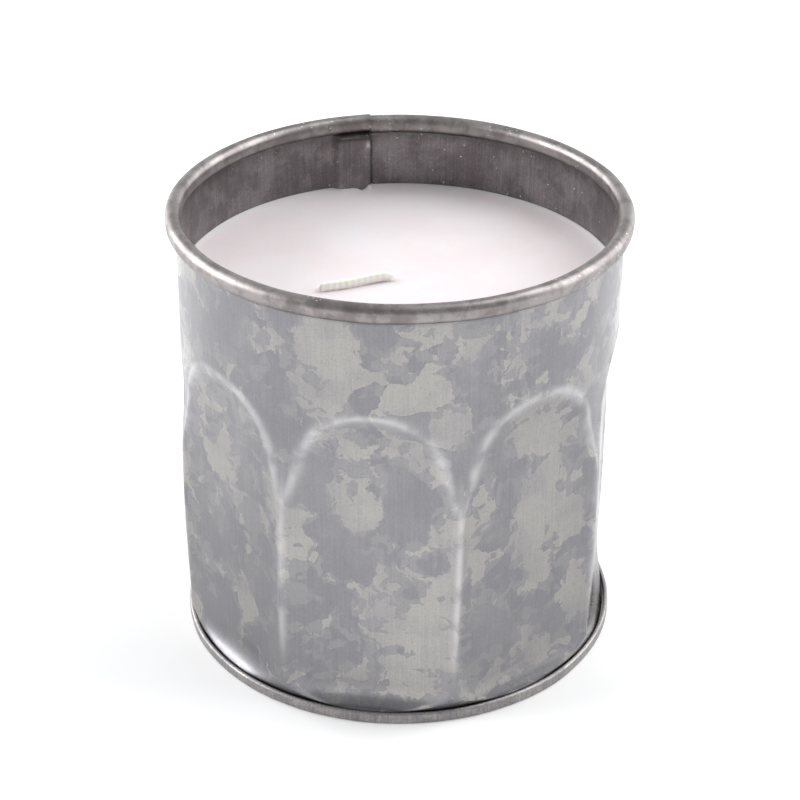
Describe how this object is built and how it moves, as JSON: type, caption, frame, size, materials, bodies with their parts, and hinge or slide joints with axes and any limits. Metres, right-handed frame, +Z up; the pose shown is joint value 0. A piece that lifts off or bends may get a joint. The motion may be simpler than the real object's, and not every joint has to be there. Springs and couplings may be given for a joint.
{
  "type": "candle tin",
  "caption": "Round galvanised steel candle tin with arched pressed panels, a rolled rim and a folded base, filled with pale wax round a cotton wick.",
  "frame": {"origin": "centre of the foot, on the surface that the tin stands on", "axes": "+Z up along the tin's axis; -Y is the front, where the arched panel next to the middle shows; the side seam is at the back, near +Y"},
  "size_m": [0.08, 0.08, 0.0814],
  "materials": {
    "galvanised_wall": "mottled, dull",
    "galvanised_base": "mottled, dull",
    "seal_compound": "matt",
    "wax": "smooth, waxy",
    "wick_cotton": "braided, waxed",
    "sustainer_steel": "plated",
    "sticker_adhesive": "foam"
  },
  "bodies": {
    "root": {"tin_wall": "galvanised_wall", "base_plate": "galvanised_base", "base_seam_seal": "seal_compound", "side_seam_seal": "seal_compound", "wax_fill": "wax", "wick": "wick_cotton", "wick_sustainer": "sustainer_steel", "wick_sticker": "sticker_adhesive"}
  },
  "joints": []
}
